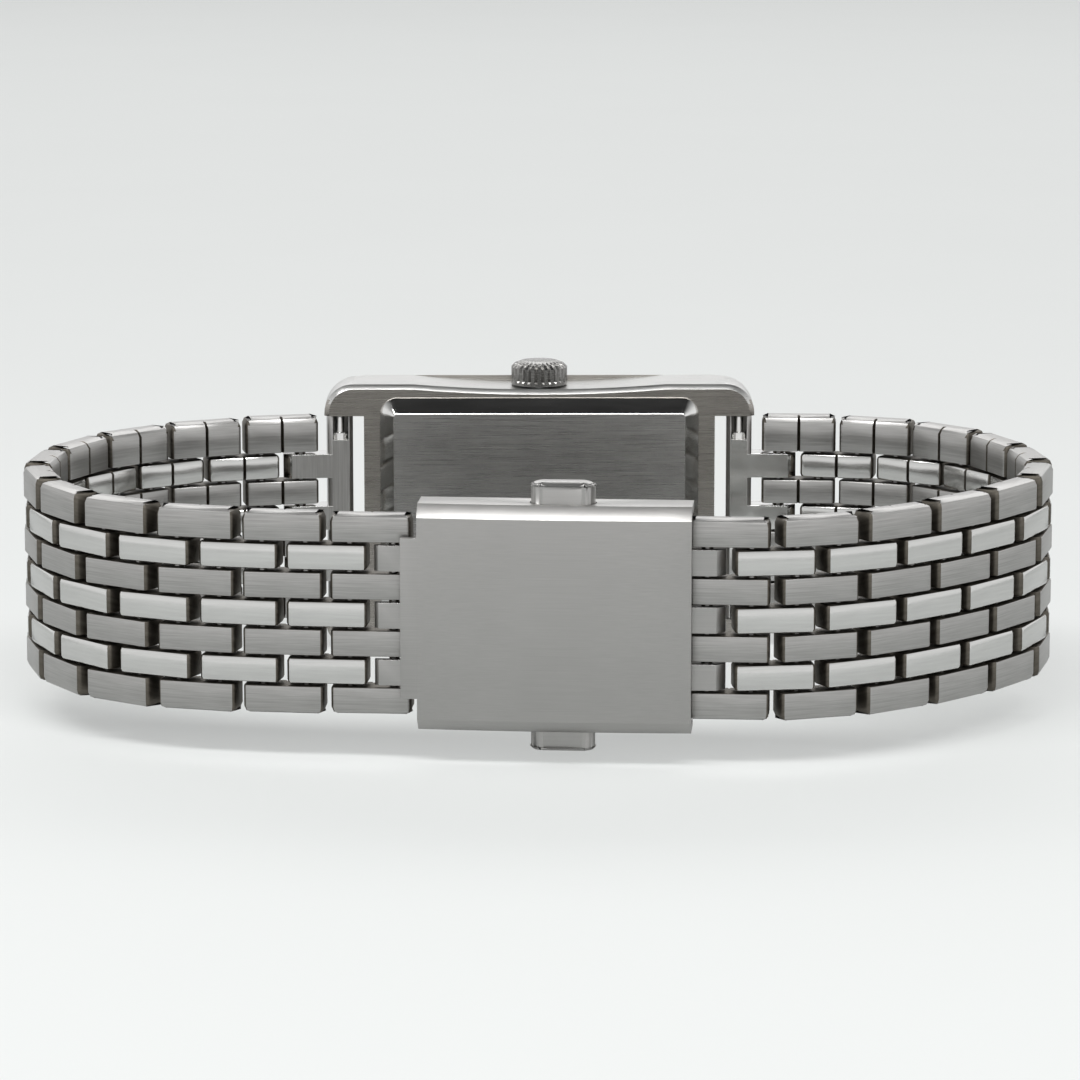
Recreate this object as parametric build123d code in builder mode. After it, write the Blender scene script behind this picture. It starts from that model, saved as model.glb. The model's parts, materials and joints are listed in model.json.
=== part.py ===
from build123d import *
from math import cos, pi, radians, sin
import os

# Rectangular dress watch on a seven-row link bracelet, closed, standing on its
# nine o'clock flank with the crown up.
# X runs from six o'clock to twelve o'clock, Z from nine to three, and the dial
# faces +Y. All lengths are millimetres.

# Case
case_length = 37.5
case_width = 23.6
case_depth = 6.2
case_corner = 2.5
lug_length = 3.45
lug_space = 18.1
lug_tip_depth = 3.7
lug_slope = 4.2
case_edge = 0.4
spring_bar_setback = 1.29
spring_bar_inset = 1.5

crown_scoop_length = 22.0
crown_scoop_depth = 0.45
crown_scoop_margin = 0.6

# Case inside, from the back to the crystal
pocket_end_wall = 3.0
pocket_side_wall = 2.6
pocket_corner = 1.4
pocket_depth = 4.2
sight_ledge = 0.8
sight_corner = 1.0
sight_depth = 0.8
seat_end_wall = 2.0
seat_side_wall = 1.7
seat_corner = 1.6

# Crystal and back
crystal_thickness = 1.3
crystal_edge = 0.3
crystal_seal = 0.2
crystal_seal_width = 0.9
back_end_margin = 1.4
back_side_margin = 1.1
back_corner = 1.5
back_bevel = 1.25
back_rim = 0.15
plug_depth = 0.9
seal_width = 0.35
seal_thickness = 0.6

# Dial, hands and movement
dial_thickness = 0.45
marker_length = 1.7
marker_width = 0.45
marker_height = 0.15
marker_margin = 0.9
movement_thickness = 2.45
movement_margin = 0.25
battery_radius = 3.4
battery_thickness = 1.1
battery_margin = 2.5
arbor_radius = 0.3
arbor_depth = 1.0
hour_tube_radius = 0.65
hour_tube_wall = 0.28
minute_hand_margin = 1.4
hour_hand_shortfall = 2.0
hand_width = 0.7
hand_thickness = 0.16
hour_hand_height = 0.2
minute_hand_height = 0.48

# Crown and stem
crown_radius = 2.45
crown_height = 2.1
crown_skirt = 0.25
crown_bevel = 0.3
flute_count = 26
flute_depth = 0.22
flute_width = 0.34
crown_gap = 0.15
crown_bore_depth = 1.4
stem_height = 3.0
stem_radius = 0.4
stem_inner_height = 4.2
stem_collar_radius = 0.85
stem_collar_length = 2.0

# Spring bars
spring_bar_radius = 0.75
spring_bar_tip_radius = 0.4
spring_bar_shoulder = 1.6
spring_bar_tip_length = 0.95
lug_hole_depth = 1.2

# Bracelet: rows across, links along
link_pitch = 7.0
brick_gap = 0.55
brick_thickness = 2.4
brick_corner = 0.7
inner_row = 2.08
row_gap = 0.22
strand_width_at_case = 18.0
strand_width_at_clasp = 16.0
pin_radius = 0.42
pin_grip = 0.9
end_bar_width = 2.2
end_notch_length = 2.1
end_notch_width = 1.35
end_bar_edge = 0.35
outer_links = 11

# Clasp
cover_length = 21.65
cover_width = 18.2
cover_depth = 4.0
cover_rise = 2.3
cover_wall = 0.9
flange_wall = 0.75
cover_bevel = 1.0
cover_crown = 0.3
cover_setback = 1.15
tongue_length = 1.3
tongue_width = 12.9
tongue_thickness = 0.7
hook_setback = 0.7
hook_clearance = 0.15
leaf_thickness = 0.9
leaf_gap = 0.3
middle_leaf_rise = 0.75
hinge_radius = 0.75
hinge_pin_radius = 0.38
hinge_tab = 7.0
hinge_room = 0.325
leaf_hinge_inset = 3.25
cover_hinge_rise = 0.45
leaf_hinge_drop = 0.3
hinge_pin_end = 0.35
riser_width = 0.55
riser_setback = 0.2
button_length = 5.1
button_width = 2.2
button_stand = 1.75
button_travel = 0.6
button_lip_room = 0.35
button_edge = 0.25
button_offset = 0.6
button_lip = 0.35
button_lip_thickness = 0.45

# Fits
running_fit = 0.06
seat_fit = 0.05
side_fit = 0.1
overrun = 1.0

# How far each link has turned from the case's line, as shares of the half turn
twelve_turn_shares = (0.018, 0.114, 0.251, 0.373, 0.453, 0.578, 0.699, 0.753, 0.804, 0.901, 1.0)
six_turn_shares = (0.068, 0.13, 0.236, 0.351, 0.458, 0.582, 0.675, 0.802, 0.911, 0.957, 1.0)
half_turn = 180.0
clasp_turn = 4.62
probe_share = 0.0001
solver_rounds = 12
tiny_share = 0.000001

# Hands at ten past ten, clockwise from twelve
hour_hand_angle = 305.0
minute_hand_angle = 60.0

# Sizes, levels and places that follow from them
body_length = case_length - 2 * lug_length
pocket_length = body_length - 2 * pocket_end_wall
pocket_width = case_width - 2 * pocket_side_wall
sight_length = pocket_length - 2 * sight_ledge
sight_width = pocket_width - 2 * sight_ledge
seat_length = body_length - 2 * seat_end_wall
seat_width = case_width - 2 * seat_side_wall
back_length = body_length - 2 * back_end_margin
back_width = case_width - 2 * back_side_margin
battery_offset = pocket_length / 2 - battery_margin - battery_radius
minute_hand_length = sight_width / 2 - minute_hand_margin
hour_hand_length = minute_hand_length - hour_hand_shortfall
button_room = side_fit + button_lip_thickness + button_travel + button_lip_room
leaf_width = cover_width - 2 * (flange_wall + button_room)
middle_height = case_width / 2
back_y = -spring_bar_inset
front_y = back_y + case_depth
dial_y = back_y + pocket_depth
ledge_y = dial_y + sight_depth
crystal_y = ledge_y + crystal_seal
spring_bar_x = case_length / 2 - spring_bar_setback
pin_pitch = link_pitch / 2
brick_length = link_pitch - brick_gap
brick_end = (brick_length - pin_pitch) / 2
bore_radius = pin_radius + running_fit
row_pitch = inner_row + row_gap
outer_row_start = 2 * row_pitch + inner_row / 2 + row_gap
outer_row_marks = (-3, -1, 1, 3)
inner_row_marks = (-2, 0, 2)

# Small repeated rounds are drawn with flats
link_pin_sides = 6
pin_sides = 8
bar_sides = 12


def face_plane(height):
    """Plane across the watch: u towards three o'clock, v towards twelve."""
    return Plane(origin=(0, height, middle_height), x_dir=(0, 0, 1), z_dir=(0, 1, 0))


def flat_plane(x, y, heading):
    """Plane along the bracelet at middle height, u along the heading."""
    along = (cos(radians(heading)), sin(radians(heading)), 0)
    return Plane(origin=(x, y, middle_height), x_dir=along, z_dir=(0, 0, 1))


def row_band(mark, width):
    """Lower and upper edge of a row, measured from the middle of the strand."""
    if abs(mark) < 3:
        low = mark * row_pitch - inner_row / 2
        return low, low + inner_row
    if mark > 0:
        return outer_row_start, width / 2
    return -width / 2, -outer_row_start


def link_headings(shares, lean, final_turn):
    """Heading of each segment between two pins, in degrees from the case's line."""
    turned = []
    for index, share in enumerate(shares):
        along = (index + 1) / len(shares)
        bow = lean[0] * sin(pi * along) + lean[1] * sin(2 * pi * along)
        turned.append(half_turn * (share + bow))
    turned[-1] = half_turn + final_turn
    headings = [turned[0] / 2]
    for index, angle in enumerate(turned):
        headings.append(angle)
        if index + 1 < len(turned):
            headings.append((angle + turned[index + 1]) / 2)
    return headings


def strand_points(side, shares, lean):
    """Pin places from the spring bar to the clasp, and the segments' headings."""
    start = 0 if side > 0 else half_turn
    x, y = side * spring_bar_x, 0
    points = [(x, y)]
    headings = []
    for turned in link_headings(shares, lean, side * clasp_turn):
        heading = start - side * turned
        x += pin_pitch * cos(radians(heading))
        y += pin_pitch * sin(radians(heading))
        points.append((x, y))
        headings.append(heading)
    return points, headings


def strand_end(side, shares, lean):
    return strand_points(side, shares, lean)[0][-1]


def meet(side, shares, target):
    """Bend the strand until its last pin lies in the clasp's knuckles."""
    lean = [0, 0]
    for attempt in range(solver_rounds):
        x, y = strand_end(side, shares, lean)
        more_x, more_y = strand_end(side, shares, (lean[0] + probe_share, lean[1]))
        bow_x, bow_y = strand_end(side, shares, (lean[0], lean[1] + probe_share))
        a, b = (more_x - x) / probe_share, (bow_x - x) / probe_share
        c, d = (more_y - y) / probe_share, (bow_y - y) / probe_share
        miss_x, miss_y = target[0] - x, target[1] - y
        scale = a * d - b * c
        lean[0] += (d * miss_x - b * miss_y) / scale
        lean[1] += (a * miss_y - c * miss_x) / scale
    return lean


clasp_reach = cover_setback + cover_length + tongue_length + hook_setback
clasp_x, clasp_y = strand_end(1, twelve_turn_shares, (0, 0))
clasp_plane = flat_plane(clasp_x, clasp_y, -clasp_turn)
clasp_outward = Axis(clasp_plane.origin, -clasp_plane.y_dir)
cover_pin = clasp_plane.from_local_coords(Vector(-clasp_reach, 0, 0))
six_lean = meet(-1, six_turn_shares, (cover_pin.X, cover_pin.Y))
strands = {
    "twelve": strand_points(1, twelve_turn_shares, (0, 0)),
    "six": strand_points(-1, six_turn_shares, six_lean),
}
pieces = {}


def case_middle_piece():
    """One block with four lugs, sloped towards the tips, open at back and front."""
    body_half = body_length / 2
    with BuildPart() as case:
        with BuildSketch(face_plane(back_y)) as outline:
            Rectangle(case_width, case_length)
            fillet(outline.vertices(), case_corner)
            with Locations((0, body_half + lug_length), (0, -body_half - lug_length)):
                Rectangle(lug_space, 2 * lug_length, mode=Mode.SUBTRACT)
        extrude(amount=case_depth)
        with BuildSketch(Plane.XY):
            with BuildLine():
                Polyline(
                    (-case_length / 2, back_y),
                    (case_length / 2, back_y),
                    (case_length / 2, back_y + lug_tip_depth),
                    (case_length / 2 - lug_slope, front_y),
                    (-case_length / 2 + lug_slope, front_y),
                    (-case_length / 2, back_y + lug_tip_depth),
                    close=True,
                )
            make_face()
        extrude(amount=case_width, mode=Mode.INTERSECT)
        with BuildSketch(Plane.XZ.offset(crown_scoop_margin - front_y)):
            with BuildLine():
                rim = (crown_scoop_length / 2, case_width)
                ThreePointArc((-rim[0], rim[1]), (0, case_width - crown_scoop_depth), rim)
                Line((-rim[0], rim[1]), rim)
            make_face()
        extrude(amount=case_depth, mode=Mode.SUBTRACT)
        back_arc = case.edges().filter_by(GeomType.CIRCLE).sort_by(SortBy.RADIUS)[-2:].sort_by(Axis.Y)[0]
        flanks = case.edges().filter_by(Axis.X).group_by(Axis.Z)
        outer_lines = flanks[0] + flanks[-1].filter_by_position(Axis.Y, back_y, back_y)
        outer_lines += flanks[-1].filter_by_position(Axis.Y, front_y, front_y)
        chamfer(outer_lines + [back_arc], case_edge)
        with BuildSketch(face_plane(back_y)) as pocket:
            Rectangle(pocket_width, pocket_length)
            chamfer(pocket.vertices(), pocket_corner)
        extrude(amount=pocket_depth, mode=Mode.SUBTRACT)
        with BuildSketch(face_plane(dial_y)) as sight:
            Rectangle(sight_width, sight_length)
            fillet(sight.vertices(), sight_corner)
        extrude(amount=case_depth, mode=Mode.SUBTRACT)
        with BuildSketch(face_plane(ledge_y)) as seat:
            Rectangle(seat_width, seat_length)
            fillet(seat.vertices(), seat_corner)
        extrude(amount=case_depth, mode=Mode.SUBTRACT)
        with BuildSketch(Plane.XY.offset(middle_height - lug_space / 2 - lug_hole_depth)):
            with Locations((spring_bar_x, 0), (-spring_bar_x, 0)):
                RegularPolygon(spring_bar_tip_radius + running_fit, pin_sides, major_radius=False)
        extrude(amount=lug_space + 2 * lug_hole_depth, mode=Mode.SUBTRACT)
        with BuildSketch(Plane.XY.offset(middle_height)):
            with Locations((0, back_y + stem_height)):
                Circle(stem_collar_radius + running_fit)
        extrude(amount=case_width / 2 + overrun, mode=Mode.SUBTRACT)
    return case.part


def crystal_piece():
    with BuildPart() as crystal:
        with BuildSketch(face_plane(crystal_y)) as outline:
            Rectangle(seat_width - 2 * seat_fit, seat_length - 2 * seat_fit)
            fillet(outline.vertices(), seat_corner - seat_fit)
        extrude(amount=crystal_thickness)
        chamfer(crystal.faces().sort_by(Axis.Y)[-1].edges(), crystal_edge)
    return crystal.part


def caseback_piece():
    """Snap back: a plug in the pocket and a raised plate with a broad bevel."""
    plug_length = pocket_length - 2 * seal_width
    plug_width = pocket_width - 2 * seal_width
    with BuildPart() as back:
        with BuildSketch(face_plane(back_y - back_bevel - back_rim)) as plate:
            Rectangle(back_width, back_length)
            fillet(plate.vertices(), back_corner)
        extrude(amount=back_bevel + back_rim)
        chamfer(back.faces().sort_by(Axis.Y)[0].edges(), back_bevel)
        with BuildSketch(face_plane(back_y)) as plug:
            Rectangle(plug_width, plug_length)
            chamfer(plug.vertices(), pocket_corner - seal_width)
        extrude(amount=plug_depth)
    return back.part


def ring(height, thickness, width, length, corner, wall):
    """Flat rectangular gasket."""
    with BuildPart() as gasket:
        with BuildSketch(face_plane(height)) as band:
            Rectangle(width, length)
            chamfer(band.vertices(), corner)
        extrude(amount=thickness)
        with BuildSketch(face_plane(height)) as hole:
            Rectangle(width - 2 * wall, length - 2 * wall)
            chamfer(hole.vertices(), corner - wall)
        extrude(amount=thickness, mode=Mode.SUBTRACT)
    return gasket.part


def seal_pieces():
    """The crystal's gasket on its ledge and the back's gasket round its plug."""
    crystal_ring = ring(ledge_y, crystal_seal, seat_width - 2 * seat_fit,
                        seat_length - 2 * seat_fit, seat_corner, crystal_seal_width)
    back_ring = ring(back_y, seal_thickness, pocket_width, pocket_length, pocket_corner, seal_width)
    return Compound(children=[crystal_ring, back_ring])


def marker_place(hour):
    """Where the ray of an hour meets a rectangle inside the dial's edge."""
    angle = radians(360 * hour / 12)
    half_u = sight_width / 2 - marker_margin - marker_length / 2
    half_v = sight_length / 2 - marker_margin - marker_length / 2
    u, v = sin(angle), cos(angle)
    reach = min(half_u / max(abs(u), tiny_share), half_v / max(abs(v), tiny_share))
    return reach * u, reach * v


def dial_piece():
    with BuildPart() as dial:
        with BuildSketch(face_plane(dial_y - dial_thickness)) as plate:
            Rectangle(pocket_width - 2 * side_fit, pocket_length - 2 * side_fit)
            chamfer(plate.vertices(), pocket_corner - side_fit)
            RegularPolygon(hour_tube_radius + side_fit, bar_sides, major_radius=False, mode=Mode.SUBTRACT)
        extrude(amount=dial_thickness)
        for hour in range(12):
            with BuildSketch(face_plane(dial_y)):
                with Locations(Location(marker_place(hour) + (0,), (0, 0, -360 * hour / 12))):
                    Rectangle(marker_width, marker_length)
            extrude(amount=marker_height)
    return dial.part


def movement_pieces():
    """Quartz movement with its battery in a recess at the back."""
    front = dial_y - dial_thickness
    with BuildPart() as movement:
        with BuildSketch(face_plane(front - movement_thickness)) as block:
            Rectangle(pocket_width - 2 * movement_margin, pocket_length - 2 * movement_margin)
            chamfer(block.vertices(), pocket_corner - movement_margin)
        extrude(amount=movement_thickness)
        with BuildSketch(face_plane(front)):
            RegularPolygon(hour_tube_radius + side_fit, bar_sides, major_radius=False)
        extrude(amount=-arbor_depth - side_fit, mode=Mode.SUBTRACT)
        with BuildSketch(face_plane(front - movement_thickness)):
            with Locations((0, battery_offset)):
                Circle(battery_radius + side_fit)
        extrude(amount=battery_thickness, mode=Mode.SUBTRACT)
        with BuildSketch(Plane.XY.offset(middle_height + stem_inner_height - side_fit)):
            with Locations((0, back_y + stem_height)):
                RegularPolygon(stem_radius + running_fit, pin_sides, major_radius=False)
        extrude(amount=case_width / 2, mode=Mode.SUBTRACT)
    with BuildPart() as battery:
        with BuildSketch(face_plane(front - movement_thickness)):
            with Locations((0, battery_offset)):
                Circle(battery_radius)
        extrude(amount=battery_thickness)
    return Compound(children=[movement.part, battery.part])


def baton(length, height, angle):
    """Tapered hand, set clockwise from twelve o'clock, inside an open block."""
    turned = Plane(
        origin=(0, dial_y + height, middle_height),
        x_dir=(-sin(radians(angle)), 0, cos(radians(angle))),
        z_dir=(0, 1, 0),
    )
    with BuildSketch(turned) as outline:
        with BuildLine():
            Polyline((-hand_width / 2, -hand_width), (hand_width / 2, -hand_width),
                     (hand_width / 4, length), (-hand_width / 4, length), close=True)
        make_face()
    extrude(outline.sketch, amount=hand_thickness)


def hour_hand_piece():
    with BuildPart() as hand:
        baton(hour_hand_length, hour_hand_height, hour_hand_angle)
        with BuildSketch(face_plane(dial_y - dial_thickness - arbor_depth / 2)):
            Circle(hour_tube_radius)
        extrude(amount=arbor_depth / 2 + dial_thickness + hour_hand_height + hand_thickness)
        with BuildSketch(face_plane(dial_y - dial_thickness - arbor_depth)):
            RegularPolygon(hour_tube_radius - hour_tube_wall, bar_sides, major_radius=False)
        extrude(amount=case_depth, mode=Mode.SUBTRACT)
    return hand.part


def minute_hand_piece():
    with BuildPart() as hand:
        baton(minute_hand_length, minute_hand_height, minute_hand_angle)
        with BuildSketch(face_plane(dial_y - dial_thickness - arbor_depth)):
            Circle(arbor_radius)
        extrude(amount=arbor_depth + dial_thickness + minute_hand_height + hand_thickness)
    return hand.part


def crown_piece():
    """Fluted crown with a thin skirt and a bevelled top, blind-bored for the stem."""
    base = case_width - crown_scoop_depth + crown_gap
    axis = (0, back_y + stem_height)
    with BuildPart() as crown:
        with BuildSketch(Plane.XY.offset(base)):
            with Locations(axis):
                RegularPolygon(crown_radius, 2 * flute_count, rotation=half_turn / flute_count / 2)
        extrude(amount=crown_height)
        chamfer(crown.faces().sort_by(Axis.Z)[-1].edges(), crown_bevel)
        with BuildSketch(Plane.XY.offset(base + crown_skirt)):
            with Locations(axis):
                with PolarLocations(crown_radius, flute_count):
                    Polygon((flute_depth, -flute_width), (flute_depth, flute_width),
                            (-flute_depth, 0), align=None)
        extrude(amount=crown_height, mode=Mode.SUBTRACT)
        with BuildSketch(Plane.XY.offset(base)):
            with Locations(axis):
                RegularPolygon(stem_radius + seat_fit, pin_sides, major_radius=False)
        extrude(amount=crown_bore_depth, mode=Mode.SUBTRACT)
    return crown.part


def stem_piece():
    """Stem from the movement to the crown, with the collar that fills the tube."""
    axis = (0, back_y + stem_height)
    base = case_width - crown_scoop_depth + crown_gap
    top = base + crown_bore_depth - side_fit
    bottom = middle_height + stem_inner_height
    with BuildPart() as stem:
        with BuildSketch(Plane.XY.offset(bottom)):
            with Locations(axis):
                RegularPolygon(stem_radius, pin_sides)
        extrude(amount=top - bottom)
        with BuildSketch(Plane.XY.offset(base - crown_gap / 2 - stem_collar_length)):
            with Locations(axis):
                Circle(stem_collar_radius)
        extrude(amount=stem_collar_length)
    return stem.part


def spring_bar_pieces():
    """Two shouldered bars, their sprung tips in the lugs' blind holes."""
    tip = lug_space / 2 + spring_bar_tip_length
    shoulder = lug_space / 2 - spring_bar_shoulder
    with BuildPart() as bars:
        with BuildSketch(Plane.XY.offset(middle_height - tip)):
            with Locations((spring_bar_x, 0), (-spring_bar_x, 0)):
                RegularPolygon(spring_bar_tip_radius, pin_sides)
        extrude(amount=2 * tip)
        with BuildSketch(Plane.XY.offset(middle_height - shoulder)):
            with Locations((spring_bar_x, 0), (-spring_bar_x, 0)):
                RegularPolygon(spring_bar_radius, bar_sides)
        extrude(amount=2 * shoulder)
    return bars.part


def half_brick(plane, mark, start, pin_place, direction):
    """Row's half brick from a body to just past its pin, inside an open block."""
    low, high = row_band(mark, strand_width_at_case)
    end = pin_place + direction * brick_end
    with BuildSketch(plane.offset(low)) as outline:
        with Locations(((start + end) / 2, 0)):
            Rectangle(abs(end - start), brick_thickness)
        chamfer(outline.vertices().sort_by_distance((end, 0, 0))[:2], brick_corner)
        with Locations((pin_place, 0)):
            Rectangle(2 * bore_radius, 2 * bore_radius, mode=Mode.SUBTRACT)
    extrude(outline.sketch, amount=high - low)


def end_piece(name):
    """Bar round the spring bar with three half bricks, its ends notched on the wrist's side."""
    points, headings = strands[name]
    plane = flat_plane(*points[0], headings[0])
    bar = strand_width_at_case
    wrist_side = -1 if name == "twelve" else 1
    with BuildPart() as piece:
        with BuildSketch(plane.offset(-bar / 2)) as section:
            Rectangle(end_bar_width, brick_thickness)
            chamfer(section.vertices(), end_bar_edge)
        extrude(amount=bar)
        for mark in inner_row_marks:
            half_brick(plane, mark, 0, pin_pitch, 1)
        with BuildSketch(plane.offset(-bar / 2)):
            RegularPolygon(spring_bar_radius + running_fit, bar_sides, major_radius=False)
        extrude(amount=bar, mode=Mode.SUBTRACT)
        for low in (-bar / 2, bar / 2 - end_notch_length):
            with BuildSketch(plane.offset(low)):
                with Locations((0, wrist_side * brick_thickness / 2)):
                    Rectangle(end_notch_width, brick_thickness)
            extrude(amount=end_notch_length, mode=Mode.SUBTRACT)
    return piece.part


def outer_link(name, number):
    """Four bricks in the odd rows on two pins, narrower towards the clasp."""
    points, headings = strands[name]
    first = 2 * number - 1
    plane = flat_plane(*points[first], headings[first])
    taper = first / (2 * outer_links)
    width = strand_width_at_case + taper * (strand_width_at_clasp - strand_width_at_case)
    with BuildPart() as link:
        for mark in outer_row_marks:
            low, high = row_band(mark, width)
            with BuildSketch(plane.offset(low)) as outline:
                with Locations((pin_pitch / 2, 0)):
                    Rectangle(brick_length, brick_thickness)
                chamfer(outline.vertices(), brick_corner)
            extrude(amount=high - low)
        with BuildSketch(plane.offset(-outer_row_start - pin_grip)):
            with Locations((0, 0), (pin_pitch, 0)):
                RegularPolygon(pin_radius, link_pin_sides)
        extrude(amount=2 * (outer_row_start + pin_grip))
    return link.part


def inner_link(name, number):
    """Three loose bricks in the even rows, each folded round the same two pins."""
    points, headings = strands[name]
    first = 2 * number
    plane = flat_plane(*points[first], headings[first])
    with BuildPart() as link:
        for mark in inner_row_marks:
            low, high = row_band(mark, strand_width_at_case)
            with BuildSketch(plane.offset(low)) as outline:
                with Locations((pin_pitch / 2, 0)):
                    Rectangle(brick_length, brick_thickness)
                chamfer(outline.vertices(), brick_corner)
                with Locations((pin_pitch / 2, 0)):
                    Rectangle(pin_pitch + 2 * bore_radius, 2 * bore_radius, mode=Mode.SUBTRACT)
            extrude(amount=high - low)
    return link.part


cover_right = -cover_setback
cover_left = cover_right - cover_length
tongue_left = cover_left - tongue_length
riser_right = -brick_end - riser_setback
riser_left = riser_right - riser_width
cover_hinge = riser_left - hinge_room - hinge_radius
leaf_hinge = cover_left + leaf_hinge_inset
inner_leaf_top = -middle_leaf_rise + leaf_thickness + leaf_gap
button_place = (cover_left + cover_right) / 2 + button_offset


def clasp_cover_piece():
    """Folded cover with bevelled long sides, a tongue and open knuckles."""
    outer = -cover_rise
    channel = cover_width - 2 * flange_wall
    hook = pin_radius + hook_clearance
    with BuildPart() as cover:
        with BuildSketch(clasp_plane.offset(-cover_width / 2)):
            with BuildLine():
                Polyline((cover_left, outer), (cover_left, outer + cover_depth),
                         (cover_right, outer + cover_depth), (cover_right, outer))
                ThreePointArc((cover_right, outer),
                              ((cover_left + cover_right) / 2, outer - cover_crown),
                              (cover_left, outer))
            make_face()
        extrude(amount=cover_width)
        outer_face = cover.faces().sort_by(clasp_outward)[-1]
        chamfer(outer_face.edges().filter_by(GeomType.CIRCLE), cover_bevel)
        with BuildSketch(clasp_plane.offset(-channel / 2)):
            with Locations(((cover_left + cover_right) / 2, outer + cover_wall + cover_depth / 2)):
                Rectangle(cover_length + overrun, cover_depth)
        extrude(amount=channel, mode=Mode.SUBTRACT)
        with BuildSketch(clasp_plane.offset(-tongue_width / 2)):
            with Locations((cover_left, outer + tongue_thickness / 2)):
                Rectangle(2 * tongue_length, tongue_thickness)
        extrude(amount=tongue_width)
        for mark in inner_row_marks:
            low, high = row_band(mark, strand_width_at_clasp)
            with BuildSketch(clasp_plane.offset(low)) as knuckle:
                with BuildLine():
                    Polyline(
                        (-clasp_reach - brick_end, -brick_thickness / 2 + brick_corner / 2),
                        (-clasp_reach - brick_end + brick_corner / 2, -brick_thickness / 2),
                        (tongue_left, -brick_thickness / 2),
                        (tongue_left, outer + tongue_thickness / 2),
                        (cover_left, outer + tongue_thickness / 2),
                        (cover_left, brick_thickness / 2 - brick_corner),
                        (cover_left - brick_corner / 2, brick_thickness / 2),
                        (-clasp_reach + hook, brick_thickness / 2),
                        (-clasp_reach + hook, -hook),
                        (-clasp_reach - brick_end, -hook),
                        close=True,
                    )
                make_face()
            extrude(amount=high - low)
        with BuildSketch(clasp_plane.offset(-cover_width / 2 + hinge_pin_end)):
            with Locations((cover_hinge, -cover_hinge_rise)):
                RegularPolygon(hinge_pin_radius + running_fit, pin_sides, major_radius=False)
        extrude(amount=cover_width - 2 * hinge_pin_end, mode=Mode.SUBTRACT)
        with BuildSketch(clasp_plane.offset(-cover_width / 2 - overrun)):
            with Locations((button_place, 0)):
                SlotOverall(button_length + 2 * side_fit, button_width + 2 * side_fit)
        extrude(amount=cover_width + 2 * overrun, mode=Mode.SUBTRACT)
    return cover.part


def barrel(plane, place, height, low, high):
    """Round knuckle about a hinge axis, inside an open block."""
    with BuildSketch(plane.offset(low)) as outline:
        with Locations((place, height)):
            RegularPolygon(hinge_radius, bar_sides)
    extrude(outline.sketch, amount=high - low)


def clasp_middle_leaf_piece():
    """Leaf between both hinges, holding both hinge pins."""
    clear = hinge_radius + leaf_gap
    channel = cover_width - 2 * flange_wall
    with BuildPart() as leaf:
        with BuildSketch(clasp_plane.offset(-leaf_width / 2)):
            with Locations(((leaf_hinge + cover_hinge) / 2, -middle_leaf_rise + leaf_thickness / 2)):
                Rectangle(cover_hinge - leaf_hinge, leaf_thickness)
        extrude(amount=leaf_width)
        for low, high in ((-leaf_width / 2, -hinge_tab / 2 - side_fit),
                          (hinge_tab / 2 + side_fit, leaf_width / 2)):
            with BuildSketch(clasp_plane.offset(low)):
                with Locations((leaf_hinge, leaf_hinge_drop)):
                    Rectangle(2 * clear, 2 * clear)
            extrude(amount=high - low, mode=Mode.SUBTRACT)
        barrel(clasp_plane, leaf_hinge, leaf_hinge_drop, -hinge_tab / 2, hinge_tab / 2)
        barrel(clasp_plane, cover_hinge, -cover_hinge_rise, -channel / 2 + side_fit,
               channel / 2 - side_fit)
        with BuildSketch(clasp_plane.offset(-cover_width / 2 + hinge_pin_end + seat_fit)):
            with Locations((cover_hinge, -cover_hinge_rise)):
                Circle(hinge_pin_radius)
        extrude(amount=cover_width - 2 * (hinge_pin_end + seat_fit))
        with BuildSketch(clasp_plane.offset(-leaf_width / 2)):
            with Locations((leaf_hinge, leaf_hinge_drop)):
                Circle(hinge_pin_radius)
        extrude(amount=leaf_width)
    return leaf.part


def clasp_inner_leaf_piece():
    """Leaf next to the wrist, from the second hinge to the twelve o'clock strand."""
    clear = hinge_radius + leaf_gap
    plate_bottom = inner_leaf_top + leaf_thickness
    with BuildPart() as leaf:
        with BuildSketch(clasp_plane.offset(-leaf_width / 2)):
            with Locations(((leaf_hinge + riser_right) / 2, inner_leaf_top + leaf_thickness / 2)):
                Rectangle(riser_right - leaf_hinge, leaf_thickness)
        extrude(amount=leaf_width)
        with BuildSketch(clasp_plane.offset(-hinge_tab / 2 - side_fit)):
            with Locations((leaf_hinge, leaf_hinge_drop)):
                Rectangle(2 * clear, 4 * clear)
        extrude(amount=hinge_tab + 2 * side_fit, mode=Mode.SUBTRACT)
        for low, high in ((-leaf_width / 2, -hinge_tab / 2 - side_fit),
                          (hinge_tab / 2 + side_fit, leaf_width / 2)):
            barrel(clasp_plane, leaf_hinge, leaf_hinge_drop, low, high)
        with BuildSketch(clasp_plane.offset(-leaf_width / 2)):
            with Locations(((riser_left + riser_right) / 2, (plate_bottom - brick_thickness / 2) / 2)):
                Rectangle(riser_width, plate_bottom + brick_thickness / 2)
        extrude(amount=leaf_width)
        for mark in inner_row_marks:
            half_brick(clasp_plane, mark, riser_left, 0, 1)
        with BuildSketch(clasp_plane.offset(-leaf_width / 2)):
            with Locations((leaf_hinge, leaf_hinge_drop)):
                RegularPolygon(hinge_pin_radius + running_fit, pin_sides, major_radius=False)
        extrude(amount=leaf_width, mode=Mode.SUBTRACT)
    return leaf.part


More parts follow.
